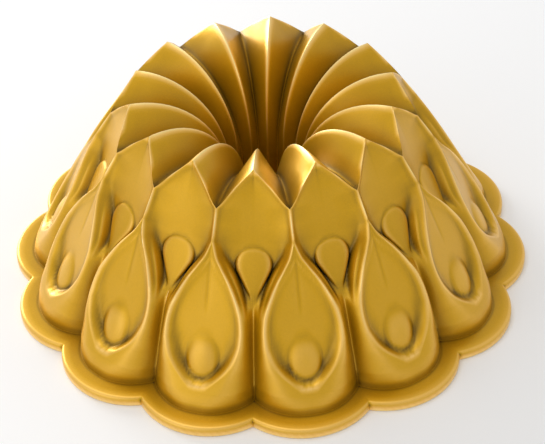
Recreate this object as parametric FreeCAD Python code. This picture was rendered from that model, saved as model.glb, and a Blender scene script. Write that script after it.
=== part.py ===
import FreeCAD, Part
import math
import os

# Upturned cast bundt pan: it stands on its scalloped rim with the crown up.
# Fourteen leaves alternate with fourteen drops, and everything repeats by half sectors.
# A place across a half sector is its "side": 0 on a leaf's centre plane, 1 on a drop's.
# A place up the wall is its "rise": 0 at the foot on the rim, 1 at the leaf tips.
# Millimetres, +Z up, origin at the centre of the rim's resting plane.

SIZES = [
    ("rim_diameter", 260.0, "across the rim's lobes"),
    ("lobe_radius", 36.5, "radius of each lobe of the rim"),
    ("foot_radius", 27.0, "radius of each drop's foot on the rim, about the lobe's centre"),
    ("rim_thickness", 4.6, "height of the rim plate"),
    ("rim_edge_radius", 1.8, "rounding of the rim's upper edge"),
    ("crown_height", 102.2, "height of the leaf tips above the resting plane"),
    ("apex_radius", 62.85, "from the axis to a leaf tip"),
    ("arch_fall", 15.0, "fall of the arched border from a leaf tip to where two leaves meet"),
    ("seam_radius", 91.8, "from the axis to the pointed foot of a leaf"),
    ("seam_height", 46.3, "height of the pointed foot of a leaf"),
    ("leaf_depth", 8.3, "greatest depth of a leaf below its border"),
    ("leaf_gem_depth", 6.5, "depth of the flat gem in a leaf below the border"),
    ("leaf_gem_radius", 7.9, "radius of the round top of a leaf's gem"),
    ("leaf_gem_length", 18.2, "from the centre of that round top to the gem's point"),
    ("drop_depth", 5.6, "greatest depth of a drop's hollow"),
    ("drop_gem_depth", 2.4, "depth of the top of a drop's oval gem"),
    ("drop_gem_width", 14.4, "width of a drop's oval gem"),
    ("drop_gem_length", 21.2, "length of a drop's oval gem"),
    ("throat_height", 46.0, "height where the funnel's valleys turn into the straight tube"),
    ("bore_radius", 15.2, "radius inside the flutes at the free end of the centre tube"),
    ("tube_draft", 3.3, "how much wider the bore is at the throat than at its free end"),
    ("flute_depth", 1.2, "depth of the flutes at the free end of the tube"),
    ("tube_end_height", 3.0, "height of the tube's free end above the resting plane"),
    ("wall", 3.2, "thickness of the casting"),
    ("root_fillet", 0.4, "metal added inside where the relief is softened"),
    ("coat", 0.4, "thickness given to the gold coat outside"),
    ("lining", 0.5, "thickness given to the release coating inside"),
]
PETALS = 14
HALF_PITCH = math.pi / PETALS
HALF_COLUMNS = 9
DROP_COLUMNS = 6
DEGREE = 3
THROAT = 0.75

# Rises of the wall's landmarks: bottom and top of a drop's border, the meeting of two leaves.
DROP_BOTTOM = 0.091
DROP_TOP = 0.72
GEM_RISE = 0.629
OVAL_RISE = 0.235

# Each table pairs a rise with a share or an angle, and is read by a smooth curve.
PROFILE = [(0, 0), (0.045, 0.021), (0.091, 0.062), (0.158, 0.127), (0.281, 0.241),
           (0.434, 0.385), (0.568, 0.515), (0.711, 0.663), (0.846, 0.815), (1, 1)]
LEAN = [(0, 0), (0.06, 8), (0.21, 28), (0.57, 30), (0.77, 35), (0.9, 48), (1, 58)]
BORDER = [(0.091, 1), (0.0935, 0.88), (0.112, 0.77), (0.148, 0.62), (0.178, 0.50),
          (0.219, 0.38), (0.26, 0.31), (0.311, 0.255), (0.363, 0.24), (0.414, 0.26),
          (0.465, 0.32), (0.516, 0.42), (0.568, 0.56), (0.619, 0.74), (0.66, 0.88), (0.72, 1)]
ARCH = [(0, 0), (0.25, 0.30), (0.5, 0.57), (0.75, 0.78), (0.9, 0.90), (1, 1)]
LEAF_FLOOR = [(0.516, 0.88), (0.586, 0.976), (0.626, 1), (0.709, 0.86), (0.773, 0.70),
              (0.87, 0.47), (0.957, 0.22), (0.99, 0.12), (1, 0)]
LEAF_VALLEY = [(0.456, 0), (0.516, 0.57), (0.586, 0.76), (0.626, 0.81), (0.684, 0.79),
               (0.74, 0.6), (0.81, 0.3), (0.895, 0.1), (1, 0)]
FLANK_POWER = [(0, 2.7), (0.15, 2.2), (0.3, 1.6), (0.456, 1.3), (1, 1.3)]
DROP_FLOOR = [(0.091, 0), (0.096, 0.12), (0.104, 0.45), (0.117, 0.85), (0.145, 1),
              (0.178, 0.97), (0.26, 0.80), (0.342, 0.64), (0.465, 0.46), (0.568, 0.27),
              (0.64, 0.10), (0.72, 0)]
DROP_POWER = [(0, 3.5), (0.3, 3), (0.5, 2), (0.72, 1.6)]
# Columns of the leaf patches, as shares of the border's side: gem edge, gem foot, valley.
COLUMN_EDGE = [(0, 0.15), (0.2, 0.16), (0.42, 0.16), (0.5, 0.2), (0.545, 0.44),
               (0.596, 0.55), (0.634, 0.53), (0.75, 0.42), (1, 0.3)]
COLUMN_VALLEY = [(0, 0.5), (0.3, 0.45), (0.45, 0.42), (0.516, 0.6), (0.586, 0.77),
                 (0.626, 0.81), (0.75, 0.8), (1, 0.7)]


def fill_sheet(doc):
    sheet = doc.addObject("Spreadsheet::Sheet", "Sizes")
    for row, (name, value, meaning) in enumerate(SIZES, start=1):
        sheet.set(f"A{row}", name)
        sheet.set(f"B{row}", str(value))
        sheet.set(f"C{row}", meaning)
        sheet.setAlias(f"B{row}", name)
    doc.recompute()
    return sheet


def read(table, place):
    """Reads a table of (place, value) pairs along a smooth curve that never overshoots."""
    if place <= table[0][0]:
        return table[0][1]
    if place >= table[-1][0]:
        return table[-1][1]
    i = 0
    while place > table[i + 1][0]:
        i += 1

    def slope(n):
        if n == 0 or n == len(table) - 1:
            return None
        before = (table[n][1] - table[n - 1][1]) / (table[n][0] - table[n - 1][0])
        after = (table[n + 1][1] - table[n][1]) / (table[n + 1][0] - table[n][0])
        return 0.0 if before * after <= 0 else 2 * before * after / (before + after)

    gap = table[i + 1][0] - table[i][0]
    chord = (table[i + 1][1] - table[i][1]) / gap
    start = slope(i)
    end = slope(i + 1)
    if start is None:
        start = chord if end is None else 1.5 * chord - 0.5 * end
    if end is None:
        end = 1.5 * chord - 0.5 * start
    t = (place - table[i][0]) / gap
    low = table[i][1] + gap * start * t * (1 - t) ** 2
    rest = (3 - 2 * t) * t * t * (table[i + 1][1] - table[i][1])
    return low + rest - gap * end * t * t * (1 - t)


def ease(start, end, place):
    """0 before start, 1 after end, smooth between."""
    t = min(1.0, max(0.0, (place - start) / (end - start)))
    return t * t * (3 - 2 * t)


class Pan:
    """The outer form and the surfaces nested inside it."""

    def __init__(self, sheet):
        for name, value, meaning in SIZES:
            setattr(self, name, float(sheet.get(name)))
        self.lobe_centre = self.rim_diameter / 2 - self.lobe_radius
        self.foot = self.lobe_centre + self.foot_radius
        self.climb = self.crown_height - self.rim_thickness
        self.meeting = 1 - self.arch_fall / self.climb
        self.seam_rise = self.seam_meets_wall()
        self.skins = [0.0, self.coat, self.coat + self.wall, self.coat + self.wall]

    # The wall's upright section through the borders, and the way its relief is sunk.
    def radius(self, rise):
        return self.foot - (self.foot - self.apex_radius) * read(PROFILE, rise)

    def height(self, rise):
        return self.rim_thickness + self.climb * rise

    def inward(self, rise):
        angle = math.radians(read(LEAN, rise))
        return math.cos(angle), math.sin(angle)

    def sunk(self, rise, depth):
        across, down = self.inward(rise)
        return self.radius(rise) - depth * across, self.height(rise) - depth * down

    def arc_step(self):
        """Length along the wall for one unit of rise."""
        return math.hypot(self.climb, self.foot - self.apex_radius)

    # The seam is the straight valley from a leaf's pointed foot down to the rim.
    def seam_foot(self):
        return self.arc_radius(0.0, self.foot_radius)

    def seam_line(self, height):
        fall = (self.seam_height - height) / (self.seam_height - self.rim_thickness)
        return self.seam_radius + (self.seam_foot() - self.seam_radius) * fall

    def seam_depth(self, rise):
        across, down = self.inward(rise)
        tilt = (self.seam_foot() - self.seam_radius) / (self.seam_height - self.rim_thickness)
        gap = self.radius(rise) - self.seam_line(self.height(rise))
        return gap / (across + tilt * down)

    def seam_meets_wall(self):
        rise = 0.3
        while self.sunk(rise, self.seam_depth(rise))[1] < self.seam_height:
            rise += 0.002
        return rise

    def arc_radius(self, side, radius):
        """Polar radius of a lobe's arc, which is centred on a drop's centre plane."""
        angle = (1 - abs(side)) * HALF_PITCH
        reach = self.lobe_centre * math.sin(angle)
        return self.lobe_centre * math.cos(angle) + math.sqrt(radius ** 2 - reach ** 2)

    # The border between leaf and drop, and the arch above the meeting of two leaves.
    def border(self, rise):
        if rise > self.meeting:
            return read(ARCH, (1 - rise) / (1 - self.meeting))
        if DROP_BOTTOM <= rise <= DROP_TOP:
            return read(BORDER, rise)
        return 1.0

    def leaf_depth_at(self, side, rise):
        share = min(1.0, side / max(self.border(rise), 1e-6))
        middle = self.seam_depth(rise)
        flank = middle * (1 - share) ** read(FLANK_POWER, rise)
        if rise < DROP_BOTTOM:
            round_foot = self.foot - self.arc_radius(side, self.foot_radius)
            above = rise / DROP_BOTTOM
            return round_foot * (1 - above) + flank * above
        seam_top = (self.seam_rise, self.seam_depth(self.seam_rise) / self.leaf_depth)
        floor = self.leaf_depth * read([seam_top] + LEAF_FLOOR, rise)
        reach = min(1.0, (1 - share) / (1 - read(LEAF_VALLEY, rise)))
        hollow = floor * (1 - (1 - reach) ** 2)
        blend = ease(self.seam_rise - 0.04, self.seam_rise + 0.05, rise)
        depth = flank * (1 - blend) + hollow * blend
        return min(depth, self.leaf_gem(side, rise))

    def leaf_gem(self, side, rise):
        """Depth of the flat, drop-shaped gem: its face inside, its steep side outside."""
        across = side * HALF_PITCH * (self.radius(rise) - self.leaf_gem_depth)
        along = (rise - GEM_RISE) * self.arc_step()
        taper = math.asin(self.leaf_gem_radius / self.leaf_gem_length)
        toward_round = across * math.sin(taper) + (along + self.leaf_gem_length) * math.cos(taper)
        if toward_round < self.leaf_gem_length * math.cos(taper):
            outside = across * math.cos(taper) - (along + self.leaf_gem_length) * math.sin(taper)
        else:
            outside = math.hypot(across, along) - self.leaf_gem_radius
        return self.leaf_gem_depth + 2.5 * max(0.0, outside)

    def drop_depth_at(self, side, rise):
        width = max(1 - self.border(rise), 1e-6)
        share = min(1.0, (1 - side) / width)
        floor = self.drop_depth * read(DROP_FLOOR, rise)
        hollow = floor * (1 - share ** read(DROP_POWER, rise))
        return min(hollow, self.oval_gem(side, rise))

    def oval_gem(self, side, rise):
        across = (1 - side) * HALF_PITCH * self.radius(rise) / (self.drop_gem_width / 2)
        along = (rise - OVAL_RISE) * self.arc_step() / (self.drop_gem_length / 2)
        out = math.hypot(across, along)
        return self.drop_gem_depth + 1.6 * out ** 2 + 12 * max(0.0, out - 1)

    def depth(self, side, rise):
        side = abs(side)
        if side > 1:
            side = 2 - side
        if DROP_BOTTOM < rise < DROP_TOP and side > self.border(rise):
            return self.drop_depth_at(side, rise)
        return self.leaf_depth_at(side, rise)

    def inner_depth(self, side, rise):
        """Depth of the inside: the outer relief, softened over one wall's width, plus the wall."""
        total = 0.0
        count = 0
        for away, spokes in ((0.0, 1), (0.5 * self.wall, 6), (self.wall, 10)):
            for spoke in range(spokes):
                turn = 2 * math.pi * spoke / spokes
                near_rise = rise + away * math.sin(turn) / self.arc_step()
                near_rise = min(1.0, max(0.0, near_rise))
                near_side = side + away * math.cos(turn) / (HALF_PITCH * self.radius(rise))
                if near_rise > self.meeting:
                    near_side = min(near_side, self.border(near_rise))
                total += self.depth(near_side, near_rise)
                count += 1
        return total / count + self.wall + self.root_fillet

    # Points of the four nested surfaces: coat outside, casting outside, casting inside, lining.
    def wall_point(self, skin, side, rise):
        across, down = self.inward(rise)
        if skin < 2:
            depth = self.depth(side, rise)
            extra = self.skins[skin]
        else:
            depth = self.inner_depth(side, rise)
            extra = self.coat + (self.lining if skin == 3 else 0.0)
            depth -= self.wall
            extra += self.wall
        low = 1 - ease(0.0, 0.07, rise)
        radius = self.radius(rise) - depth * across - extra * (across + low * (1 - across))
        height = self.height(rise) - depth * down - extra * (down + low * (1 - down))
        return self.place(side, radius, height)

    def place(self, side, radius, height):
        angle = side * HALF_PITCH
        return FreeCAD.Vector(radius * math.sin(angle), -radius * math.cos(angle), height)

    def column_sides(self, rise):
        """Sides of a leaf patch's columns, gathered at the gem, the valley and the border."""
        edge = read(COLUMN_EDGE, rise)
        foot = edge + 0.07
        valley = max(read(COLUMN_VALLEY, rise), foot + 0.08)
        knots = [(0, 0), (0.3, edge), (0.42, foot), (0.65, valley), (0.9, 0.5 * valley + 0.5)]
        knots.append((1, 1))
        shares = []
        for i in range(HALF_COLUMNS + 1):
            t = i / HALF_COLUMNS
            k = 0
            while t > knots[k + 1][0]:
                k += 1
            part = (t - knots[k][0]) / (knots[k + 1][0] - knots[k][0])
            shares.append(knots[k][1] + part * (knots[k + 1][1] - knots[k][1]))
        limit = self.border(rise)
        return [share * limit for share in shares]

    def drop_sides(self, rise):
        """Sides of a drop patch's columns, from one border across to the other."""
        width = 1 - self.border(rise)
        sides = []
        for i in range(2 * DROP_COLUMNS + 1):
            t = i / DROP_COLUMNS - 1
            gathered = math.sin(t * math.pi / 2)
            sides.append(1 + width * (0.5 * t + 0.5 * gathered))
        return sides

    def border_rises(self, count):
        """Rises that are evenly spaced along the border of a drop."""
        fine = 400
        lengths = [0.0]
        rises = [DROP_BOTTOM]
        last = self.wall_point(0, 1.0, DROP_BOTTOM)
        for i in range(1, fine + 1):
            rise = DROP_BOTTOM + (DROP_TOP - DROP_BOTTOM) * (i / fine) ** 2
            point = self.wall_point(0, read(BORDER, rise), rise)
            lengths.append(lengths[-1] + (point - last).Length)
            rises.append(rise)
            last = point
        table = list(zip(lengths, rises))
        steps = [read(table, lengths[-1] * i / count) for i in range(count + 1)]
        steps[0] = DROP_BOTTOM
        steps[-1] = DROP_TOP
        return steps

    # The funnel runs from the arched border over the crown and down the centre tube.
    def funnel_line(self, valley, way):
        """Radius and height along a ridge (valley 0) or a valley (valley 1) of the funnel."""
        if valley:
            start = self.radius(self.meeting)
            top = self.crown_height - self.arch_fall
            centre = self.apex_radius - 1
            low = self.throat_height
        else:
            start = self.apex_radius
            top = self.crown_height
            centre = self.apex_radius - 3
            low = self.throat_height + 10
        throat = self.bore_radius + self.tube_draft + (2.0 if valley else 0.0)
        end = self.bore_radius + (self.flute_depth if valley else 0.0)
        if way < 0.2:
            return start + (centre - start) * way / 0.2, top
        if way < 0.75:
            angle = (way - 0.2) / 0.55 * math.pi / 2
            across = (centre - throat) * math.sin(angle)
            return centre - across, low + (top - low) * math.cos(angle)
        down = (way - 0.75) / 0.25
        return throat + (end - throat) * down, low + (self.tube_end_height - low) * down

    def funnel_point(self, skin, share, way):
        """share is 0 on the ridge and 1 in the valley, and way is 0 at the arched border."""
        ridge = self.funnel_line(0, way)
        valley = self.funnel_line(1, way)
        on_ridge = self.place(0.0, *ridge)
        in_valley = self.place(1.0, *valley)
        outer = on_ridge + (in_valley - on_ridge) * share
        arch_outer = self.arch_point(0, share)
        straight = self.arch_point(0, 0.0)
        straight += (self.arch_point(0, 1.0) - straight) * share
        fade = 1 - ease(0.0, 0.4, way)
        outer += (arch_outer - straight) * fade
        if skin == 0:
            return outer
        step = 0.01
        ahead = [self.funnel_line(side, min(1.0, way + step)) for side in (0, 1)]
        behind = [self.funnel_line(side, max(0.0, way - step)) for side in (0, 1)]
        run = ahead[0][0] + ahead[1][0] - behind[0][0] - behind[1][0]
        fall = ahead[0][1] + ahead[1][1] - behind[0][1] - behind[1][1]
        size = math.hypot(run, fall)
        across, down = -fall / size, run / size
        if way >= 1:
            across, down = 1.0, 0.0
        gap = in_valley - on_ridge
        sink = abs((valley[0] - ridge[0]) * across + (valley[1] - ridge[1]) * down)
        thicker = 1 / math.sqrt(max(0.2, 1 - (sink / gap.Length) ** 2))
        thickness = self.skins[skin] * thicker + (self.lining if skin == 3 else 0.0)
        angle = math.atan2(outer.y, outer.x)
        push = FreeCAD.Vector(across * math.cos(angle), across * math.sin(angle), down)
        inner = push * thickness
        at_arch = self.arch_point(skin, share) - arch_outer
        start = 1 - ease(0.0, 0.3, way)
        return outer + at_arch * start + inner * (1 - start)

    def arch_point(self, skin, share):
        """A point of the arched border; share is the part of its fall."""
        rise = 1 - share * (1 - self.meeting)
        return self.wall_point(skin, self.border(rise) if share < 1 else 1.0, rise)

    # The rim plate: flat top, rounded edge, upright side.
    def rim_rows(self, skin, side):
        inset = self.skins[skin]
        outer = self.arc_radius(side, self.lobe_radius - inset)
        top = self.rim_thickness - inset
        bend = self.rim_edge_radius
        rows = [self.wall_point(skin, side, 0.0)]
        for i in range(5):
            angle = math.pi / 2 * i / 4
            radius = outer - bend + bend * math.sin(angle)
            rows.append(self.place(side, radius, top - bend + bend * math.cos(angle)))
        rows.append(self.place(side, outer, 0.0))
        return rows


def knots(count):
    """Knots, how often each counts, and degree of a spline with that many control points."""
    degree = min(DEGREE, count - 1)
    inner = count - degree
    counts = [degree + 1] + [1] * (inner - 1) + [degree + 1]
    return list(range(inner + 1)), counts, degree


def patch(grid):
    """A surface whose control points are the grid, so that neighbours share their edges."""
    surface = Part.BSplineSurface()
    row_knots, row_counts, row_degree = knots(len(grid))
    column_knots, column_counts, column_degree = knots(len(grid[0]))
    surface.buildFromPolesMultsKnots(
        grid, row_counts, column_counts, row_knots, column_knots,
        False, False, row_degree, column_degree)
    return surface.toShape()


def mirrored(grid):
    return [[FreeCAD.Vector(-p.x, p.y, p.z) for p in row] for row in grid]


def repeated(shapes):
    """The shapes of one sector, repeated round the axis."""
    centre = FreeCAD.Vector(0, 0, 0)
    axis = FreeCAD.Vector(0, 0, 1)
    turned = []
    for petal in range(PETALS):
        for shape in shapes:
            item = shape.copy()
            item.rotate(centre, axis, 360.0 * petal / PETALS)
            turned.append(item)
    return turned


def outline(row):
    """The closed line all round the axis whose half sector has these control points."""
    spline_knots, counts, degree = knots(len(row))
    edges = []
    for points in (row, mirrored([row])[0]):
        curve = Part.BSplineCurve()
        curve.buildFromPolesMultsKnots(points, counts, spline_knots, False, degree)
        edges.append(curve.toShape())
    return Part.Wire(Part.__sortEdges__(repeated(edges)))


def flat_ring(outer, inner):
    return Part.makeFace([outline(outer), outline(inner)], "Part::FaceMakerBullseye")


class Skin:
    """Control points of one nested surface, for the half sector from a leaf to a drop."""

    def __init__(self, pan, number):
        self.pan = pan
        self.number = number
        sides = pan.column_sides(0.0)
        foot = self.leaf_row(0.0)
        if number < 2:
            rows = [list(row) for row in zip(*[pan.rim_rows(number, side) for side in sides])]
            self.rim = [rows[0:2], rows[1:6], rows[5:7]]
            self.bottom = rows[-1]
        else:
            self.bottom = [FreeCAD.Vector(p.x, p.y, 0.0) for p in foot]
            self.rim = [[foot, self.bottom]]
        self.foot = foot
        low = [DROP_BOTTOM * i / 4 for i in range(5)]
        middle = pan.border_rises(15)
        neck = [DROP_TOP + (pan.meeting - DROP_TOP) * i / 4 for i in range(5)]
        arch = [1 - (1 - i / 7) * (1 - pan.meeting) for i in range(8)]
        self.wall = [[self.leaf_row(rise) for rise in rises]
                     for rises in (low, middle, neck, arch)]
        self.drop = [[pan.wall_point(number, side, rise) for side in pan.drop_sides(rise)]
                     for rise in middle]
        shares = [i / 7 for i in range(8)]
        mouth = [0, 0.07, 0.14, 0.2] + [0.2 + (THROAT - 0.2) * i / 7 for i in range(1, 8)]
        tube = [THROAT, 0.83, 0.92, 1.0]
        self.crown, self.tube = [
            [[pan.funnel_point(number, share, way) for share in shares] for way in ways]
            for ways in (mouth, tube)]
        self.arch = self.crown[0]
        self.throat = self.tube[0]
        self.end = self.tube[-1]

    def leaf_row(self, rise):
        pan = self.pan
        return [pan.wall_point(self.number, side, rise) for side in pan.column_sides(rise)]


def revolved(halves, wholes, rings):
    """One closed solid from a sector's patches, mirrored and repeated, and flat rings."""
    sector = [patch(grid) for grid in wholes]
    for grid in halves:
        sector.append(patch(grid))
        sector.append(patch(mirrored(grid)))
    skin = Part.Compound(repeated(sector) + [flat_ring(outer, inner) for outer, inner in rings])
    skin.sewShape(0.001)
    shell = max(skin.Shells, key=lambda item: len(item.Faces))
    solid = Part.Solid(shell)
    if solid.Volume < 0:
        solid.reverse()
    return solid


def whole_layer(outer, inner):
    """The solid between two nested surfaces, from the rim to the tube's end."""
    halves = outer.rim + outer.wall + [outer.crown, outer.tube]
    halves += inner.rim + inner.wall + [inner.crown, inner.tube]
    rings = [(outer.bottom, inner.bottom), (outer.end, inner.end)]
    return revolved(halves, [outer.drop, inner.drop], rings)


def rim_flange(outer, inner):
    halves = outer.rim + inner.rim + [[outer.foot, inner.foot]]
    return revolved(halves, [], [(outer.bottom, inner.bottom)])


def relief_wall(outer, inner):
    halves = outer.wall + inner.wall + [[outer.foot, inner.foot], [outer.arch, inner.arch]]
    return revolved(halves, [outer.drop, inner.drop], [])


def crown(outer, inner):
    halves = [outer.crown, inner.crown, [outer.arch, inner.arch], [outer.throat, inner.throat]]
    return revolved(halves, [], [])


def centre_tube(outer, inner):
    halves = [outer.tube, inner.tube, [outer.throat, inner.throat]]
    return revolved(halves, [], [(outer.end, inner.end)])


def add_piece(doc, name, solid):
    piece = doc.addObject("Part::Feature", name)
    piece.Label = name
    piece.Shape = solid
    piece.Placement = FreeCAD.Placement()
    return piece


def main():
    doc = FreeCAD.newDocument("BundtPan")
    pan = Pan(fill_sheet(doc))
    coat_face, metal_face, inside_face, lining_face = [Skin(pan, number) for number in range(4)]
    pieces = [
        add_piece(doc, "outer_coat", whole_layer(coat_face, metal_face)),
        add_piece(doc, "rim_flange", rim_flange(metal_face, inside_face)),
        add_piece(doc, "relief_wall", relief_wall(metal_face, inside_face)),
        add_piece(doc, "crown", crown(metal_face, inside_face)),
        add_piece(doc, "centre_tube", centre_tube(metal_face, inside_face)),
        add_piece(doc, "nonstick_lining", whole_layer(inside_face, lining_face)),
    ]
    doc.recompute()
    for item in doc.Objects:
        if "Invalid" in item.State or "Error" in item.State:
            raise RuntimeError(f"{item.Label} did not build")
    os.makedirs("parts", exist_ok=True)
    for piece in pieces:
        shape = piece.Shape
        if shape.isNull() or not shape.isValid():
            raise RuntimeError(f"{piece.Label} is not a sound closed solid")
        print(piece.Label, len(shape.Solids), len(shape.Faces), round(shape.Volume / 1000, 1))
        shape.exportStep(f"parts/{piece.Label}.step")


main()
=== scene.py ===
"""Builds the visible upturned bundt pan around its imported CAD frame."""
import math

import bmesh
import bpy
import numpy as np
from mathutils import Matrix, Vector


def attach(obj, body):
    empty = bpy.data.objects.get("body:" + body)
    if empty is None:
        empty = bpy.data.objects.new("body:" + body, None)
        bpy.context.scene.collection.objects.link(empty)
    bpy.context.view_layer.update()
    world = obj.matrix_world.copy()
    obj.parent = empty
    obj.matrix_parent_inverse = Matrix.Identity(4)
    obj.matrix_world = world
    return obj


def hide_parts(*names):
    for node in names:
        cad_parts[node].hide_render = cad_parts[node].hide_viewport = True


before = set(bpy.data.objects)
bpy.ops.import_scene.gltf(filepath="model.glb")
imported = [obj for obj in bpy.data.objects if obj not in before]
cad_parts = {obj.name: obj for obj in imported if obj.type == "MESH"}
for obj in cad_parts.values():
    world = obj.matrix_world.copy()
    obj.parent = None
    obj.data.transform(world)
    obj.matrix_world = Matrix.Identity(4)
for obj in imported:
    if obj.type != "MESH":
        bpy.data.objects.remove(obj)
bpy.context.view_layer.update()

bl_info = {
    "name": "Scalloped Bundt Pan",
    "version": (1, 0, 0),
    "blender": (4, 5, 0),
    "location": "3D View > Sidebar > Bundt Pan",
    "description": "Builds a cast ring cake pan with leaf and drop relief and a gold finish",
    "category": "Add Mesh",
}

MM = 0.001
PETALS = 14
HALF_PITCH = math.pi / PETALS
BODY = "root"
CASTING_NODES = ("rim_flange", "relief_wall", "crown", "centre_tube")
TINY = 1e-6  # keeps a divisor from reaching zero

# A place across a half sector is its side: 0 on a leaf's centre plane, 1 on a drop's.
# A place up the wall is its rise: 0 at the foot on the rim, 1 at the leaf tips.
DROP_BOTTOM = 0.091
DROP_TOP = 0.72
FOOT_BLEND = 0.07
LEAF_GEM_RISE = 0.629
OVAL_GEM_RISE = 0.235

# Spans of rise over which one form gives way to the next, the first from the seam's top.
SEAM_BLEND = (-0.04, 0.05)
SEAM_SEARCH = (0.3, 0.6)
FOOT_ROUND_END = 1.15 * DROP_BOTTOM
LEDGE_START = (0.3, 0.4)
LEDGE_END = (0.58, 0.68)
LEAF_TOP = (0.64, 0.76)
CREASE_START = (0.4, 0.5)
CREASE_END = (0.6, 0.7)
SHELF_END = (0.16, 0.24)
DROP_LOWER_END = (0.16, 0.42)

# How the two sides of a leaf's foot narrow upwards, and how its hollow curves.
FLANK_NARROWING = 2.83
FLANK_NARROWED = 0.22
BOWL_POWER = 2.2
BOWL_TURN = 1.2
BOWL_LEAST_DEPTH = 0.2

# Small forms of the hollows, in millimetres.
FLANK_ROUNDING = 0.35
LEAF_FLOOR_FILLET = 1.6
DROP_FLOOR_FILLET = 1.2
GEM_FILLET = 0.9
LEDGE_DEPTH = 1.5
LEDGE_PLACE = 2.7
LEDGE_WIDTH = 0.75
CREASE_DEPTH = 0.3
CREASE_WIDTH = 1.5
SHELF_DEPTH = 2.2
SHELF_WIDTH = 5.0
DROP_WALL_FOOT = (0.8, 4.8)

# How steeply the gems' sides fall, how soft their edges are, and how far they dome.
# The held values keep the columns of the grid apart past a gem's ends.
LEAF_GEM_SLOPE = 2.6
LEAF_GEM_SOFTNESS = 0.25
OVAL_SLOPE = 16
OVAL_SOFTNESS = 0.003
OVAL_SHOULDER = 1.08
OVAL_DOME = 1.5
OVAL_DOME_POWER = 2.4
OVAL_DRAWN = 0.88
LEAF_GEM_HELD = 0.55
OVAL_HELD = 0.25

# The way down the funnel is 0 at the arches and 1 at the tube's end.
MOUTH_WAY = 0.2
THROAT_WAY = 0.75
ARCH_FADE = 0.4
LAYER_FADE = 0.3
FOLD_START = 0.25
RIDGE_ROUNDING = 0.05
VALLEY_ROUNDING = 0.06
STEEPEST_FACET = 0.2

# Offsets of the funnel's ridges and valleys, in millimetres.
VALLEY_SHOULDER = 1
RIDGE_SHOULDER = 3
RIDGE_LIFT = 10
THROAT_FLUTE = 2.0

# How far the hidden surfaces lie under the visible outside, in millimetres.
COAT_BACK = 0.9
CASTING_OUTSIDE = 1.0
CASTING_INSIDE = 3.6
LINING_BACK = 3.7
LINING_FACE = 4.1

# Rings of places that soften the inside: a share of the wall, and the places on the ring.
SOFTENING_RINGS = ((0.0, 1), (0.5, 6), (1.0, 10))

PROFILE = [(0, 0), (0.045, 0.021), (0.091, 0.062), (0.158, 0.127), (0.281, 0.241),
           (0.434, 0.385), (0.568, 0.515), (0.711, 0.663), (0.846, 0.815), (1, 1)]
LEAN = [(0, 0), (0.06, 8), (0.21, 28), (0.57, 30), (0.77, 35), (0.9, 48), (1, 58)]
BORDER = [(0.091, 1), (0.0935, 0.88), (0.112, 0.77), (0.148, 0.62), (0.178, 0.50),
          (0.219, 0.38), (0.26, 0.31), (0.311, 0.255), (0.363, 0.24), (0.414, 0.26),
          (0.465, 0.32), (0.516, 0.42), (0.568, 0.56), (0.619, 0.74), (0.66, 0.88), (0.72, 1)]
ARCH = [(0, 0), (0.25, 0.30), (0.5, 0.57), (0.75, 0.78), (0.9, 0.90), (1, 1)]
LEAF_FLOOR = [(0.516, 0.92), (0.57, 1.04), (0.61, 1.06), (0.66, 0.95), (0.709, 0.80),
              (0.773, 0.64), (0.87, 0.42), (0.957, 0.2), (1, 0.08)]
LEAF_BOWL = [(0.5, 0.0), (0.6, 0.1), (0.72, 0.35), (0.8, 0.7), (0.9, 0.8), (1, 0.8)]
LEAF_WALL = [(0.45, 2.4), (0.62, 2.6), (0.72, 1.9), (0.85, 1.1), (1, 1.0)]
FLANK_POWER = [(0, 2.7), (0.15, 2.2), (0.3, 1.6), (0.456, 1.3), (1, 1.3)]
DROP_FLOOR = [(0.091, 1), (0.145, 1), (0.178, 0.97), (0.26, 0.82), (0.342, 0.66),
              (0.465, 0.48), (0.568, 0.30), (0.64, 0.14), (0.72, 0)]
DROP_WALL = [(0.09, 3.0), (0.3, 2.4), (0.45, 1.2), (0.72, 0.6)]
DROP_BOWL = [(0.09, 0.15), (0.3, 0.3), (0.5, 0.6), (0.72, 0.9)]


def smooth(table, place):
    """Reads a table of (place, value) pairs along a smooth curve that never overshoots."""
    xs, ys = np.array(table, dtype=float).T
    gaps = np.diff(xs)
    chords = np.diff(ys) / gaps
    before, after = chords[:-1], chords[1:]
    agree = before * after > 0
    total = np.where(agree, before + after, 1.0)
    middle = np.where(agree, 2 * before * after / total, 0.0)
    start = 1.5 * chords[0] - 0.5 * (middle[0] if len(middle) else chords[0])
    end = 1.5 * chords[-1] - 0.5 * (middle[-1] if len(middle) else chords[-1])
    slopes = np.concatenate([[start], middle, [end]])
    x = np.clip(place, xs[0], xs[-1])
    i = np.clip(np.searchsorted(xs, x, side="right") - 1, 0, len(gaps) - 1)
    t = (x - xs[i]) / gaps[i]
    step = ys[i + 1] - ys[i]
    curve = ys[i] + gaps[i] * slopes[i] * t * (1 - t) ** 2
    return curve + (3 - 2 * t) * t * t * step - gaps[i] * slopes[i + 1] * t * t * (1 - t)


def ease(start, end, place):
    """0 before start, 1 after end, smooth between."""
    t = np.clip((place - start) / (end - start), 0.0, 1.0)
    return t * t * (3 - 2 * t)


def hump(place, width):
    """1 at place 0, falling smoothly to nothing a few widths away."""
    return np.exp(-(place / width) ** 2)


def past_edge(distance, softness):
    """0 well inside an edge, turning softly into the distance outside it."""
    return 0.5 * (distance + np.sqrt(distance ** 2 + softness))


def shallower(a, b, fillet):
    """The smaller of two depths, with a fillet of the given size where they cross."""
    mix = np.clip(0.5 + 0.5 * (b - a) / fillet, 0.0, 1.0)
    return b * (1 - mix) + a * mix - fillet * mix * (1 - mix)


def softened(distance, rounding):
    """A distance from an edge whose start is rounded over."""
    return np.sqrt(distance * distance + rounding * rounding) - rounding


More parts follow.
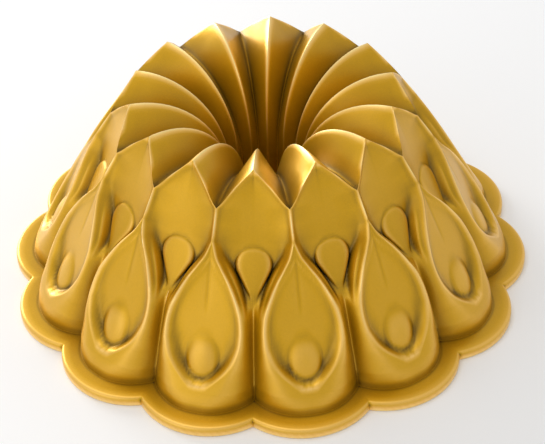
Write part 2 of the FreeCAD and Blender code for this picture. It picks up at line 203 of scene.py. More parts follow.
class Form:
    """The pan's surfaces in millimetres, from the sizes in the sidebar."""

    def __init__(self, sizes):
        for name in sizes.__annotations__:
            value = getattr(sizes, name)
            setattr(self, name, value / MM if isinstance(value, float) else value)
        self.lobe_centre = self.rim_diameter / 2 - self.lobe_radius
        self.foot = self.lobe_centre + self.foot_radius
        self.climb = self.crown_height - self.rim_thickness
        self.meeting = 1 - self.arch_fall / self.climb
        self.arc = math.hypot(self.climb, self.foot - self.apex_radius)
        self.seam_rise = self.find_seam_rise()
        self.edge = self.border_outline()

    # The wall's upright section through the borders, and the way its relief is sunk.
    def radius(self, rise):
        return self.foot - (self.foot - self.apex_radius) * smooth(PROFILE, rise)

    def height(self, rise):
        return self.rim_thickness + self.climb * rise

    def inward(self, rise):
        angle = np.radians(smooth(LEAN, rise))
        return np.cos(angle), np.sin(angle)

    def lobe(self, side, radius):
        """Polar radius of an arc centred on a drop's centre plane."""
        angle = (1 - np.abs(side)) * HALF_PITCH
        reach = self.lobe_centre * np.sin(angle)
        return self.lobe_centre * np.cos(angle) + np.sqrt(radius ** 2 - reach ** 2)

    # The seam is the straight valley from a leaf's pointed foot down to the rim.
    def seam_depth(self, rise):
        across, down = self.inward(rise)
        low = self.lobe(0.0, self.foot_radius)
        tilt = (low - self.seam_radius) / (self.seam_height - self.rim_thickness)
        line = self.seam_radius + tilt * (self.seam_height - self.height(rise))
        return (self.radius(rise) - line) / (across + tilt * down)

    def find_seam_rise(self):
        rises = np.linspace(*SEAM_SEARCH, 601)
        heights = self.height(rises) - self.seam_depth(rises) * self.inward(rises)[1]
        return float(np.interp(self.seam_height, heights, rises))

    def border(self, rise):
        """Side of the border between leaf and drop, or of the arch above them."""
        arch = smooth(ARCH, (1 - rise) / (1 - self.meeting))
        inside = (rise >= DROP_BOTTOM) & (rise <= DROP_TOP)
        side = np.where(inside, smooth(BORDER, rise), 1.0)
        return np.where(rise > self.meeting, arch, side)

    def unrolled(self, side, rise):
        return side * HALF_PITCH * self.radius(rise), rise * self.arc

    def border_outline(self):
        rises = np.concatenate([
            DROP_BOTTOM + (DROP_TOP - DROP_BOTTOM) * np.linspace(0, 1, 160) ** 1.6,
            np.linspace(DROP_TOP, 1, 60)[1:],
        ])
        x, y = self.unrolled(self.border(rises), rises)
        return np.stack([x, y], axis=-1)

    def from_border(self, side, rise):
        """Distance along the wall to the nearest border."""
        x, y = self.unrolled(side, rise)
        points = np.stack([x.ravel(), y.ravel()], axis=-1)
        starts = self.edge[:-1]
        runs = self.edge[1:] - starts
        lengths = np.maximum((runs ** 2).sum(axis=1), TINY)
        nearest = np.full(len(points), 1e9)
        for start, run, length in zip(starts, runs, lengths):
            away = points - start
            part = np.clip(away @ run / length, 0.0, 1.0)
            gap = away - part[:, None] * run
            nearest = np.minimum(nearest, (gap ** 2).sum(axis=1))
        return np.sqrt(nearest).reshape(np.shape(side))

    def crest(self, distance):
        """Depth below a border's rounded crest."""
        return self.crest_step * (1 - hump(distance, self.crest_width))

    # Depths below the borders.
    def leaf_depth_at(self, side, rise, distance):
        """Depth of a leaf: its hollow and gem above the seam, its two flanks beside the seam."""
        limit = np.maximum(self.border(rise), TINY)
        share = np.minimum(1.0, side / limit)
        width = side * HALF_PITCH * self.radius(rise)
        soft_side = np.sqrt(width ** 2 + self.seam_fillet ** 2)
        reach = np.minimum(limit, 1 - FLANK_NARROWING * np.minimum(rise, FLANK_NARROWED))
        soft_share = np.minimum(1.0, soft_side / (reach * HALF_PITCH * self.radius(rise)))
        flank = self.seam_depth(rise) * (1 - soft_share) ** smooth(FLANK_POWER, rise)
        round_foot = self.foot - self.lobe(side, self.foot_radius)
        above = ease(0.0, FOOT_ROUND_END, rise)
        flank = softened(round_foot * (1 - above) + flank * above, FLANK_ROUNDING)
        seam_top = (self.seam_rise, self.seam_depth(self.seam_rise) / self.leaf_depth)
        floor = self.leaf_depth * smooth([seam_top] + LEAF_FLOOR, rise)
        floor = floor * (1 - smooth(LEAF_BOWL, rise) * share ** BOWL_POWER)
        wall = smooth(LEAF_WALL, rise) * softened(distance, self.border_rounding)
        ledge = ease(*LEDGE_START, rise) * (1 - ease(*LEDGE_END, rise))
        wall = wall - LEDGE_DEPTH * ledge * hump(distance - LEDGE_PLACE, LEDGE_WIDTH)
        bowl = 1 - np.exp(-BOWL_TURN * wall / np.maximum(floor, BOWL_LEAST_DEPTH))
        bowl = self.crest(distance) + floor * bowl
        top = ease(*LEAF_TOP, rise)
        hollow = shallower(floor, wall, LEAF_FLOOR_FILLET) * (1 - top) + bowl * top
        hollow = shallower(hollow, self.leaf_gem(side, rise), GEM_FILLET)
        start, end = (self.seam_rise + step for step in SEAM_BLEND)
        blend = ease(start, end, rise)
        return flank * (1 - blend) + hollow * blend

    def leaf_gem(self, side, rise):
        """Depth of a leaf's gem: round above, with straight sides that meet in a point below."""
        across = side * HALF_PITCH * (self.radius(rise) - self.leaf_gem_depth)
        along = (rise - LEAF_GEM_RISE) * self.arc
        taper = math.asin(self.leaf_gem_radius / self.leaf_gem_length)
        run = along + self.leaf_gem_length
        on_taper = across * math.sin(taper) + run * math.cos(taper)
        point = across * math.cos(taper) - run * math.sin(taper)
        rounded = np.hypot(across, along) - self.leaf_gem_radius
        outside = np.where(on_taper < self.leaf_gem_length * math.cos(taper), point, rounded)
        fall = past_edge(outside, LEAF_GEM_SOFTNESS)
        return self.leaf_gem_depth + LEAF_GEM_SLOPE * fall

    def leaf_gem_edge(self, rise):
        """Side of a leaf gem's edge, which keeps some width past its round top."""
        along = (rise - LEAF_GEM_RISE) * self.arc
        taper = math.asin(self.leaf_gem_radius / self.leaf_gem_length)
        least = (LEAF_GEM_HELD * self.leaf_gem_radius) ** 2
        top = np.maximum(self.leaf_gem_radius ** 2 - along ** 2, least)
        sides = np.maximum(along + self.leaf_gem_length, 0.0) * math.tan(taper)
        half = np.where(along > -self.leaf_gem_radius * math.sin(taper), np.sqrt(top), sides)
        return half / (HALF_PITCH * (self.radius(rise) - self.leaf_gem_depth))

    def oval_gem_edge(self, rise):
        """Half width of an oval gem over the half pitch, which keeps some width past its ends."""
        along = self.along_oval(rise) / OVAL_SHOULDER
        round_end = np.sqrt(np.maximum(1 - along ** 2, OVAL_HELD))
        half = OVAL_SHOULDER * round_end * self.drop_gem_width / 2
        return half / (HALF_PITCH * self.radius(rise))

    def along_oval(self, rise):
        """Place along an oval gem in half lengths from its middle, drawn out downwards."""
        along = (rise - OVAL_GEM_RISE) * self.arc / (self.drop_gem_length / 2)
        return np.where(along < 0, along * OVAL_DRAWN, along)

    def drop_depth_at(self, side, rise, distance):
        """Depth of a drop: its creased upper hollow, its steep lower end and its gem."""
        share = np.minimum(1.0, (1 - side) / np.maximum(1 - self.border(rise), TINY))
        width = (1 - side) * HALF_PITCH * self.radius(rise)
        floor = self.drop_depth * smooth(DROP_FLOOR, rise)
        creased = ease(*CREASE_START, rise) * (1 - ease(*CREASE_END, rise))
        crease = CREASE_DEPTH * np.exp(-width / CREASE_WIDTH) * creased
        floor = floor * (1 - smooth(DROP_BOWL, rise) * share ** 2) + crease
        wall = smooth(DROP_WALL, rise) * softened(distance, self.border_rounding)
        crest = np.minimum(self.crest(distance), floor)
        upper = np.maximum(shallower(floor, wall, DROP_FLOOR_FILLET), crest)
        shelf = SHELF_DEPTH * hump(width, SHELF_WIDTH) * (1 - ease(*SHELF_END, rise))
        lower = floor * ease(*DROP_WALL_FOOT, distance - shelf)
        low = 1 - ease(*DROP_LOWER_END, rise)
        hollow = upper * (1 - low) + lower * low
        return shallower(hollow, self.oval_gem(side, rise), GEM_FILLET)

    def oval_gem(self, side, rise):
        """Depth of a drop's gem: an oval dome with steep sides."""
        across = (1 - side) * HALF_PITCH * self.radius(rise) / (self.drop_gem_width / 2)
        out = np.hypot(across, self.along_oval(rise))
        fall = past_edge(out - OVAL_SHOULDER, OVAL_SOFTNESS)
        return self.drop_gem_depth + OVAL_DOME * out ** OVAL_DOME_POWER + OVAL_SLOPE * fall

    def depth(self, side, rise):
        """Depth of the relief on the visible outside."""
        side = np.abs(side)
        side = np.where(side > 1, 2 - side, side)
        distance = self.from_border(side, rise)
        leaf = self.leaf_depth_at(side, rise, distance)
        drop = self.drop_depth_at(side, rise, distance)
        in_drop = (rise > DROP_BOTTOM) & (rise < DROP_TOP) & (side > self.border(rise))
        return np.where(in_drop, drop, leaf)

    def inner_depth(self, side, rise):
        """Depth of the outer relief, softened over one wall's width."""
        total = np.zeros(np.shape(side))
        count = 0
        for ring, spokes in SOFTENING_RINGS:
            away = ring * self.wall
            for spoke in range(spokes):
                turn = 2 * math.pi * spoke / spokes
                near_rise = np.clip(rise + away * math.sin(turn) / self.arc, 0.0, 1.0)
                shift = away * math.cos(turn) / (HALF_PITCH * self.radius(rise))
                near_side = side + shift
                capped = np.minimum(near_side, self.border(near_rise))
                near_side = np.where(near_rise > self.meeting, capped, near_side)
                total += self.depth(near_side, near_rise)
                count += 1
        return total / count

    # Nested surfaces: "below" is how far a surface lies under the visible outside.
    def wall_points(self, side, rise, below, inside):
        across, down = self.inward(rise)
        if inside:
            depth = self.inner_depth(side, rise)
        else:
            depth = self.depth(side, rise)
        low = 1 - ease(0.0, FOOT_BLEND, rise)
        radius = self.radius(rise) - depth * across - below * (across + low * (1 - across))
        height = self.height(rise) - depth * down - below * (down + low * (1 - down))
        return self.placed(side, radius, height)

    def placed(self, side, radius, height):
        angle = side * HALF_PITCH
        spread = np.broadcast_arrays(radius * np.sin(angle), -radius * np.cos(angle), height)
        return np.stack(spread, axis=-1)

    def funnel_line(self, valley, way):
        """Radius and height along a ridge or a valley from the arched border to the tube's end."""
        if valley:
            start = float(self.radius(np.array(self.meeting)))
            top = self.crown_height - self.arch_fall
            centre = self.apex_radius - VALLEY_SHOULDER
            low = self.throat_height
        else:
            start = self.apex_radius
            top = self.crown_height
            centre = self.apex_radius - RIDGE_SHOULDER
            low = self.throat_height + RIDGE_LIFT
        throat = self.bore_radius + self.tube_draft + (THROAT_FLUTE if valley else 0.0)
        end = self.bore_radius + (self.flute_depth if valley else 0.0)
        angle = np.clip((way - MOUTH_WAY) / (THROAT_WAY - MOUTH_WAY), 0, 1) * math.pi / 2
        down = np.clip((way - THROAT_WAY) / (1 - THROAT_WAY), 0, 1)
        radius = np.where(way < MOUTH_WAY, start + (centre - start) * way / MOUTH_WAY,
                          centre - (centre - throat) * np.sin(angle))
        radius = np.where(way > THROAT_WAY, throat + (end - throat) * down, radius)
        height = np.where(way < MOUTH_WAY, top, low + (top - low) * np.cos(angle))
        height = np.where(way > THROAT_WAY, low + (self.tube_end_height - low) * down, height)
        return radius, height

    def arch_points(self, share, below, inside):
        """Points of the arch over a leaf, from its tip at share 0 to the valley at 1."""
        rise = 1 - share * (1 - self.meeting)
        side = np.where(share < 1, self.border(rise), 1.0)
        return self.wall_points(side, rise, below, inside)

    def funnel_points(self, share, way, below, inside):
        """Points of a facet: share is 0 on its ridge and 1 in its valley, way runs down it."""
        ridge = self.funnel_line(False, way)
        valley = self.funnel_line(True, way)
        on_ridge = self.placed(0.0, *ridge)
        in_valley = self.placed(1.0, *valley)
        part = share[..., None]
        angle = share * HALF_PITCH
        outer = on_ridge + (in_valley - on_ridge) * part
        lift = self.folded(share) * ease(0.0, FOLD_START, way)
        drop = lift * (valley[0] - ridge[0])
        fall = lift * (valley[1] - ridge[1])
        outer = outer + np.stack([drop * np.sin(angle), -drop * np.cos(angle), fall], axis=-1)
        arch_outer = self.arch_points(share, 0.0, False)
        corner = self.arch_points(np.array([0.0, 1.0]), 0.0, False)
        straight = corner[0] + (corner[1] - corner[0]) * part
        outer = outer + (arch_outer - straight) * (1 - ease(0.0, ARCH_FADE, way))[..., None]
        if below == 0:
            return outer
        step = 0.01
        ends = [np.minimum(way + step, 1.0), np.maximum(way - step, 0.0)]
        ahead = [self.funnel_line(valley_line, ends[0]) for valley_line in (False, True)]
        behind = [self.funnel_line(valley_line, ends[1]) for valley_line in (False, True)]
        run = ahead[0][0] + ahead[1][0] - behind[0][0] - behind[1][0]
        fall = ahead[0][1] + ahead[1][1] - behind[0][1] - behind[1][1]
        size = np.hypot(run, fall)
        across = np.where(way >= 1, 1.0, -fall / size)
        down = np.where(way >= 1, 0.0, run / size)
        sink = np.abs((valley[0] - ridge[0]) * across + (valley[1] - ridge[1]) * down)
        gap = np.linalg.norm(in_valley - on_ridge, axis=-1)
        thicker = 1 / np.sqrt(np.maximum(STEEPEST_FACET, 1 - (sink / gap) ** 2))
        angle = np.arctan2(outer[..., 1], outer[..., 0])
        push = np.stack([across * np.cos(angle), across * np.sin(angle), down], axis=-1)
        start = (1 - ease(0.0, LAYER_FADE, way))[..., None]
        at_arch = self.arch_points(share, below, inside) - arch_outer
        return outer + at_arch * start + push * (below * thicker)[..., None] * (1 - start)

    def folded(self, share):
        """Rounds the ridges and the valleys of the funnel over a small share of a facet."""
        ridge = RIDGE_ROUNDING * (1 - np.exp(-share / RIDGE_ROUNDING))
        valley = VALLEY_ROUNDING * (1 - np.exp((share - 1) / VALLEY_ROUNDING))
        return valley * share - ridge * (1 - share)


# The rim's rows: shares of its flat top, then the rows of its rounded edge.
RIM_SHARES = (0.08, 0.2, 0.6)
RIM_EDGE_ROWS = 6


def rim_rows(form, side, below):
    """The rim from the wall's foot: flat top, rounded edge, upright side."""
    outer = form.lobe(side, form.lobe_radius - below)
    top = form.rim_thickness - below
    bend = form.rim_edge_radius
    foot = form.wall_points(side, np.zeros_like(side), below, False)
    rows = [foot]
    start = np.hypot(foot[..., 0], foot[..., 1])
    for part in RIM_SHARES:
        rows.append(form.placed(side, start + (outer - bend - start) * part, top))
    for i in range(RIM_EDGE_ROWS):
        angle = math.pi / 2 * i / (RIM_EDGE_ROWS - 1)
        radius = outer - bend + bend * math.sin(angle)
        rows.append(form.placed(side, radius, top - bend + bend * math.cos(angle)))
    rows.append(form.placed(side, outer, 0.0))
    return np.stack(rows)


# Grids of one surface, for the half sector from a leaf's centre plane to a drop's.
LEAF_COLUMNS = 22
DROP_COLUMNS = 14
ARCH_COLUMNS = 12
FOOT_ROWS = 4
BORDER_ROWS = 48
NECK_ROWS = 4
MOUTH_ROWS = 6
FUNNEL_ROWS = 16
TUBE_ROWS = 6

# Columns, as shares of a grid's width, that follow the gem, the valley and the border.
LEAF_GATHERED = (0, 0.3, 0.42, 0.65, 0.86, 1)
DROP_GATHERED = (0, 0.25, 0.5, 0.62, 1)
LEAF_EDGE_LIMITS = (0.15, 0.7)
DROP_EDGE_LIMITS = (0.15, 0.75)
COLUMN_VALLEY = [(0, 0.5), (0.3, 0.45), (0.45, 0.42), (0.516, 0.6), (0.586, 0.77),
                 (0.626, 0.81), (0.75, 0.8), (1, 0.7)]

# Rows lie closer together around the tops of the leaf gems.
CLOSE_ROWS_RISE = 0.675
CLOSE_ROWS_SPAN = 0.036
CLOSE_ROWS_GAIN = 2.0

# Half widths of the painted highlights along the small fillets, the first two in millimetres.
SEAM_PAINTED_HIGHLIGHT = 0.55
FOOT_PAINTED_HIGHLIGHT = 0.7
VALLEY_PAINTED_HIGHLIGHT = 0.05

# Where the painted fillet highlights fade: from the seam's top, and along the funnel from the
# arches.
SEAM_PAINTED_HIGHLIGHT_END = (-0.03, 0.01)
VALLEY_PAINTED_HIGHLIGHT_START = 0.1


def spaced(start, end, count):
    """Evenly spaced places that divide a span into a number of steps."""
    return np.linspace(start, end, count + 1)


def gathered(columns, anchors, marks):
    """For each row, the columns with the anchors moved to that row's marks."""
    return np.stack([np.interp(columns, anchors, row) for row in np.stack(marks).T])


def leaf_sides(form, rises, columns):
    """Sides of a leaf's columns, gathered at the gem, the valley and the border."""
    border = form.border(rises)
    edge = np.clip(form.leaf_gem_edge(rises) / np.maximum(border, TINY), *LEAF_EDGE_LIMITS)
    foot = edge + 0.05
    valley = np.maximum(smooth(COLUMN_VALLEY, rises), foot + 0.08)
    above = 0.45 * valley + 0.55
    marks = [0 * edge, edge, foot, valley, above, 0 * edge + 1]
    return gathered(columns, LEAF_GATHERED, marks) * border[:, None]


def drop_sides(form, rises, columns):
    """Sides of a drop's columns, from its border to its centre plane."""
    width = 1 - form.border(rises)
    gem = np.clip(form.oval_gem_edge(rises) / np.maximum(width, TINY), *DROP_EDGE_LIMITS)
    edge = 1 - gem
    marks = [0 * edge, 0.35 * edge, edge - 0.08, edge, 0 * edge + 1]
    return 1 - width[:, None] * (1 - gathered(columns, DROP_GATHERED, marks))


def border_rises(form, count):
    """Rises of the rows along a drop's border, closer together at the leaf gems' tops."""
    rises = DROP_BOTTOM + (DROP_TOP - DROP_BOTTOM) * np.linspace(0, 1, 800) ** 2
    points = np.stack(form.unrolled(form.border(rises), rises), axis=-1)
    steps = np.linalg.norm(np.diff(points, axis=0), axis=1)
    steps = steps * (1 + CLOSE_ROWS_GAIN * hump(rises[1:] - CLOSE_ROWS_RISE, CLOSE_ROWS_SPAN))
    along = np.concatenate([[0.0], np.cumsum(steps)])
    return np.interp(spaced(0, along[-1], count), along, rises)


def surface(form, below, inside=False, stride=1):
    """The grids of one nested surface, and its open edges at the rim and the tube's end."""
    columns = spaced(0, 1, LEAF_COLUMNS)[::stride]
    across = spaced(0, 1, DROP_COLUMNS)[::stride]
    shares = 1 - spaced(0, 1, ARCH_COLUMNS)[::stride]
    low = spaced(0, DROP_BOTTOM, FOOT_ROWS)[::stride]
    middle = border_rises(form, BORDER_ROWS)[::stride]
    neck = spaced(DROP_TOP, form.meeting, NECK_ROWS)[::stride]
    arch = 1 - shares * (1 - form.meeting)
    grids = []
    for rises in (low, middle, neck, arch):
        sides = leaf_sides(form, rises, columns)
        rise_grid = rises[:, None] + 0 * sides
        width = sides * HALF_PITCH * form.radius(rise_grid)
        # The seam and foot marks place painted highlights along those fillets in the gold coat.
        seam = hump(width, SEAM_PAINTED_HIGHLIGHT)
        seam = seam * (1 - ease(*SEAM_PAINTED_HIGHLIGHT_END, rise_grid - form.seam_rise))
        foot = hump(rise_grid * form.climb, FOOT_PAINTED_HIGHLIGHT)
        points = form.wall_points(sides, rise_grid, below, inside)
        grids.append(marked(points, np.maximum(seam, foot)))
    sides = drop_sides(form, middle, across)
    grids.append(marked(form.wall_points(sides, middle[:, None] + 0 * sides, below, inside), 0))
    ways = np.concatenate([spaced(0, MOUTH_WAY, MOUTH_ROWS),
                           spaced(MOUTH_WAY, THROAT_WAY, FUNNEL_ROWS)[1:],
                           spaced(THROAT_WAY, 1, TUBE_ROWS)[1:]])[::stride]
    share_grid, way_grid = np.meshgrid(shares, ways)
    # The valley mark places a painted highlight along the funnel's valleys.
    valley = hump(1 - share_grid, VALLEY_PAINTED_HIGHLIGHT) * ease(0.0, VALLEY_PAINTED_HIGHLIGHT_START, way_grid)
    funnel = marked(form.funnel_points(share_grid, way_grid, below, inside), valley)
    foot = grids[0][0]
    if inside:
        rim = np.stack([foot, foot * np.array([1.0, 1.0, 0.0, 1.0])])
    else:
        sides = leaf_sides(form, low[:1], columns)[0]
        rim = marked(rim_rows(form, sides, below)[::stride], 0)
        rim[0] = foot
    return grids + [funnel, rim], rim[-1], funnel[-1]


def marked(points, fillet):
    """Points with a fourth number: 1 in the small fillets of seams, valleys and the foot, where a
    painted highlight goes.
    """
    shares = np.broadcast_to(fillet, points.shape[:-1])[..., None]
    return np.concatenate([points, shares], axis=-1)


def quads(grid, start):
    """Faces of a grid whose points are numbered from start."""
    rows, columns = grid.shape[:2]
    index = np.arange(rows * columns).reshape(rows, columns) + start
    corners = [index[:-1, :-1], index[:-1, 1:], index[1:, 1:], index[1:, :-1]]
    return np.stack(corners, axis=-1).reshape(-1, 4)


def fans(fine, coarse, start):
    """Faces between an edge and another with half as many points."""
    first = start + len(fine)
    faces = []
    for i in range(len(coarse) - 1):
        near, middle, far = start + 2 * i, start + 2 * i + 1, start + 2 * i + 2
        faces.append((first + i, near, middle, middle))
        faces.append((first + i, middle, first + i + 1, first + i + 1))
        faces.append((first + i + 1, middle, far, far))
    return np.array(faces)


# Points nearer than the first are welded, edges shorter than the second are dropped.
# Part of each arch's edge stays open by a hairline, about 0.02 mm, wider than the weld.
WELD = 0.015 * MM
SLIVER = 0.005 * MM
SHARP_ANGLE = math.radians(55)


def layer(name, outer, inner):
    """A shell between two surfaces, all round the axis."""
    points, faces, count = [], [], 0
    for grid in outer[0] + inner[0]:
        points.append(grid.reshape(-1, 4))
        faces.append(quads(grid, count))
        count += len(points[-1])
    for fine, coarse in zip(outer[1:], inner[1:]):
        points.append(np.concatenate([fine, coarse]))
        if len(fine) == len(coarse):
            faces.append(quads(np.stack([fine, coarse]), count))
        else:
            faces.append(fans(fine, coarse, count))
        count += len(points[-1])
    half = np.concatenate(points)
    fillet = half[:, 3]
    half = half[:, :3] * MM
    face = np.concatenate(faces)
    every_point, every_face = [], []
    for petal in range(PETALS):
        angle = 2 * HALF_PITCH * petal
        turn = np.array([[math.cos(angle), -math.sin(angle), 0],
                         [math.sin(angle), math.cos(angle), 0],
                         [0, 0, 1]])
        for flip in (1, -1):
            every_face.append((face + len(every_point) * count)[:, ::flip])
            every_point.append((half * np.array([flip, 1, 1])) @ turn.T)
    mesh = bpy.data.meshes.new(name)
    mesh.from_pydata(np.concatenate(every_point).tolist(), [],
                     [list(dict.fromkeys(row)) for row in np.concatenate(every_face).tolist()])
    # The fillet mark tells the gold's shader where to paint highlights on the small fillets.
    mark = mesh.attributes.new("fillet", "FLOAT", "POINT")
    mark.data.foreach_set("value", np.tile(fillet, 2 * PETALS).astype(np.float32))
    work = bmesh.new()
    work.from_mesh(mesh)
    bmesh.ops.remove_doubles(work, verts=work.verts, dist=WELD)
    bmesh.ops.dissolve_degenerate(work, edges=work.edges, dist=SLIVER)
    bmesh.ops.recalc_face_normals(work, faces=work.faces)
    work.to_mesh(mesh)
    work.free()
    mesh.polygons.foreach_set("use_smooth", [True] * len(mesh.polygons))
    mesh.set_sharp_from_angle(angle=SHARP_ANGLE)
    piece = bpy.data.objects.new(name, mesh)
    bpy.context.scene.collection.objects.link(piece)
    return piece


class Wire:
    """A shader value that takes part in Python sums, each of which becomes a Math node."""

    def __init__(self, shader, socket):
        self.shader = shader
        self.socket = socket

    def sum(self, operation, first, second):
        return self.shader.node("ShaderNodeMath", {"operation": operation}, {0: first, 1: second})

    def __add__(self, other):
        return self.sum("ADD", self, other)

    def __radd__(self, other):
        return self.sum("ADD", other, self)

    def __sub__(self, other):
        return self.sum("SUBTRACT", self, other)

    def __rsub__(self, other):
        return self.sum("SUBTRACT", other, self)

    def __mul__(self, other):
        return self.sum("MULTIPLY", self, other)

    def __rmul__(self, other):
        return self.sum("MULTIPLY", other, self)


class Shader:
    """A material and the nodes that feed its surface."""

    def __init__(self, name):
        self.material = bpy.data.materials.new(name)
        self.material.use_nodes = True
        self.tree = self.material.node_tree
        self.surface = self.tree.nodes["Principled BSDF"]

    def node(self, kind, settings=None, inputs=None, output=0):
        made = self.tree.nodes.new(kind)
        for name, value in (settings or {}).items():
            setattr(made, name, value)
        self.feed(made, inputs or {})
        return Wire(self, made.outputs[output])

    def feed(self, made, inputs):
        for name, value in inputs.items():
            if isinstance(value, Wire):
                self.tree.links.new(value.socket, made.inputs[name])
            else:
                made.inputs[name].default_value = value

    def noise(self, scale, detail):
        place = self.node("ShaderNodeTexCoord", output="Object")
        return self.node("ShaderNodeTexNoise", None,
                         {"Vector": place, "Scale": scale, "Detail": detail, "Roughness": 0.6})

    def bump(self, height, distance, strength):
        return self.node("ShaderNodeBump", None,
                         {"Height": height, "Distance": distance, "Strength": strength})


# The satin finish: a wide mottle over the fine grain, and the reach of the painted shade in the
# grooves.
PAINTED_SHADE_REACH = 28 * MM
MOTTLE_SCALE = 0.12
MOTTLE_TINT = 0.05
MOTTLE_ROUGHNESS = 0.08
# Painted highlight along the small fillets, paleness of the painted highlights, and richer colour
# in the painted shade.
FILLET_PAINTED_HIGHLIGHT = 0.045
PAINTED_HIGHLIGHT_PALENESS = 0.35
PAINTED_SHADE_RICHNESS = 0.3
GRAIN_DEPTH = 0.2
GRAIN_STRENGTH = 0.35
CLEAR_COAT = 0.3
CLEAR_COAT_ROUGHNESS = 0.25
GOLD_GRAIN = 0.45 * MM
METAL_GRAIN = 0.6 * MM


def satin(name, colour, metallic, roughness, speckle, grain, painted_shade=0.0, painted_crest_highlight=0.0):
    """A metal with fine grains, with painted shade in its grooves and painted highlights on its
    crests and small fillets.
    """
    shader = Shader(name)
    fine = shader.noise(1 / grain, 2.0)
    wide = shader.noise(MOTTLE_SCALE / grain, 3.0)
    glint = (fine - 0.5) * speckle
    # Ambient occlusion drives painted shade: the base colour darkens where the grooves hide the
    # sky.
    open_sky = shader.node("ShaderNodeAmbientOcclusion", {"samples": 8},
                           {"Distance": PAINTED_SHADE_REACH}, output=1)
    # Pointiness paints highlights on convex crests and painted shade in concave creases.
    crest = shader.node("ShaderNodeNewGeometry", output="Pointiness") - 0.5
    painted_edge_light = shader.node("ShaderNodeClamp", None, {"Value": crest * painted_crest_highlight, "Min": -0.5})
    # The fillet mark adds a painted highlight along the small fillets of seams, valleys and the
    # foot.
    fillet = shader.node("ShaderNodeAttribute", {"attribute_name": "fillet"}, output=2)
    painted_edge_light = painted_edge_light + fillet * FILLET_PAINTED_HIGHLIGHT * painted_crest_highlight
    # Value of the base colour: painted groove shade, grain, mottle and painted edge highlights.
    light = painted_shade * (open_sky - 1) + 1 + glint + (wide - 0.5) * MOTTLE_TINT + painted_edge_light
    # Saturation: paler in the painted highlights, richer in the painted shade.
    painted_light_saturation = 1 - PAINTED_HIGHLIGHT_PALENESS * painted_edge_light + PAINTED_SHADE_RICHNESS * painted_shade * (1 - open_sky)
    tint = shader.node("ShaderNodeHueSaturation", None,
                       {"Color": (*colour, 1), "Value": light, "Saturation": painted_light_saturation})
    shader.feed(shader.surface, {
        "Base Color": tint,
        "Metallic": metallic,
        "Roughness": roughness + (wide - 0.5) * MOTTLE_ROUGHNESS,
        "Coat Weight": CLEAR_COAT,
        "Coat Roughness": CLEAR_COAT_ROUGHNESS,
        "Normal": shader.bump(fine, grain * GRAIN_DEPTH, GRAIN_STRENGTH),
    })
    return shader.material


def finished(piece, material, slot, *nodes):
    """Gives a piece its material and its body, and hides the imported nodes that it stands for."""
    piece.data.materials.append(material)
    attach(piece, BODY)
    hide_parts(*nodes)


def length(name, description, default):
    return bpy.props.FloatProperty(name=name, description=description, default=default * MM,
                                   min=0.0, unit="LENGTH", precision=4)


def share(name, description, default, top=1.0):
    return bpy.props.FloatProperty(name=name, description=description, default=default,
                                   min=0.0, max=top)


def colour(name, description, default):
    return bpy.props.FloatVectorProperty(name=name, description=description, default=default,
                                         subtype="COLOR", size=3, min=0.0, max=1.0)


class PanSizes(bpy.types.PropertyGroup):
    rim_diameter: length("Rim diameter", "Diameter over the rim's lobes", 260)
    lobe_radius: length("Lobe radius", "Radius of each of the rim's lobes", 36.5)
    foot_radius: length("Foot radius", "Radius of each lobe where the wall meets the rim", 27)
    rim_thickness: length("Rim thickness", "Height of the rim's top", 4.6)
    rim_edge_radius: length("Rim edge", "Radius of the rim's rounded edge", 1.8)
    crown_height: length("Height", "Height of the leaf tips", 102.2)
    apex_radius: length("Crown radius", "Distance of the leaf tips from the axis", 62.85)
    arch_fall: length("Arch fall", "Drop from a leaf tip to a funnel valley", 15)
    seam_radius: length("Seam radius", "Distance of the seam's top from the axis", 91.8)
    seam_height: length("Seam height", "Height of the seam's top", 46.3)
    leaf_depth: length("Leaf depth", "Depth of a leaf's hollow", 8.3)
    leaf_gem_depth: length("Round gem depth", "Depth of a leaf gem's top", 6.5)
    leaf_gem_radius: length("Round gem radius", "Radius of a leaf gem's round end", 7.9)
    leaf_gem_length: length("Round gem length", "From a leaf gem's centre to its point", 18.2)
    drop_depth: length("Drop depth", "Depth of a drop's hollow", 5.6)
    drop_gem_depth: length("Oval gem depth", "Depth of an oval gem's top", 2.4)
    drop_gem_width: length("Oval gem width", "Width of an oval gem", 14.4)
    drop_gem_length: length("Oval gem length", "Length of an oval gem", 21.2)
    throat_height: length("Throat height", "Height of the valleys at the tube's throat", 46)
    bore_radius: length("Bore radius", "Radius of the tube's lower end", 15.2)
    tube_draft: length("Tube draft", "How much wider the tube is at its throat", 3.3)
    flute_depth: length("Flute depth", "Depth of the flutes at the tube's end", 1.2)
    tube_end_height: length("Tube end", "Height of the tube's lower end", 3)
    wall: length("Wall", "Width over which the inside softens the relief", 3.2)
    seam_fillet: length("Seam fillet", "Half width of the seam's rounded bottom", 0.6)
    border_rounding: length("Border rounding", "Rounding of the borders' crests", 0.7)
    crest_step: length("Crest step", "Height of the borders' crests above the hollows", 0.7)
    crest_width: length("Crest width", "Half width of the borders' crests", 0.9)


class PanFinish(bpy.types.PropertyGroup):
    gold: colour("Gold", "Colour of the outer coat", (0.72, 0.395, 0.008))
    gold_metallic: share("Gold metallic", "How metallic the outer coat is", 0.65)
    # Strength of the painted shade that darkens the coat's colour in the grooves.
    painted_groove_shade: share("Pooling", "How much darker the coat is in the grooves", 0.75)
    # Strength of the painted highlights on the crests and the small fillets.
    painted_crest_highlight: share("Crest light", "How much lighter the coat is on the crests", 12.0, 50.0)
    gold_roughness: share("Gold roughness", "Roughness of the outer coat", 0.40)
    speckle: share("Speckle", "How much the coat's grains differ", 0.25)
    lining: colour("Lining", "Colour of the release coating", (0.42, 0.29, 0.12))
    metal: colour("Metal", "Colour of bare cast aluminium", (0.72, 0.72, 0.73))


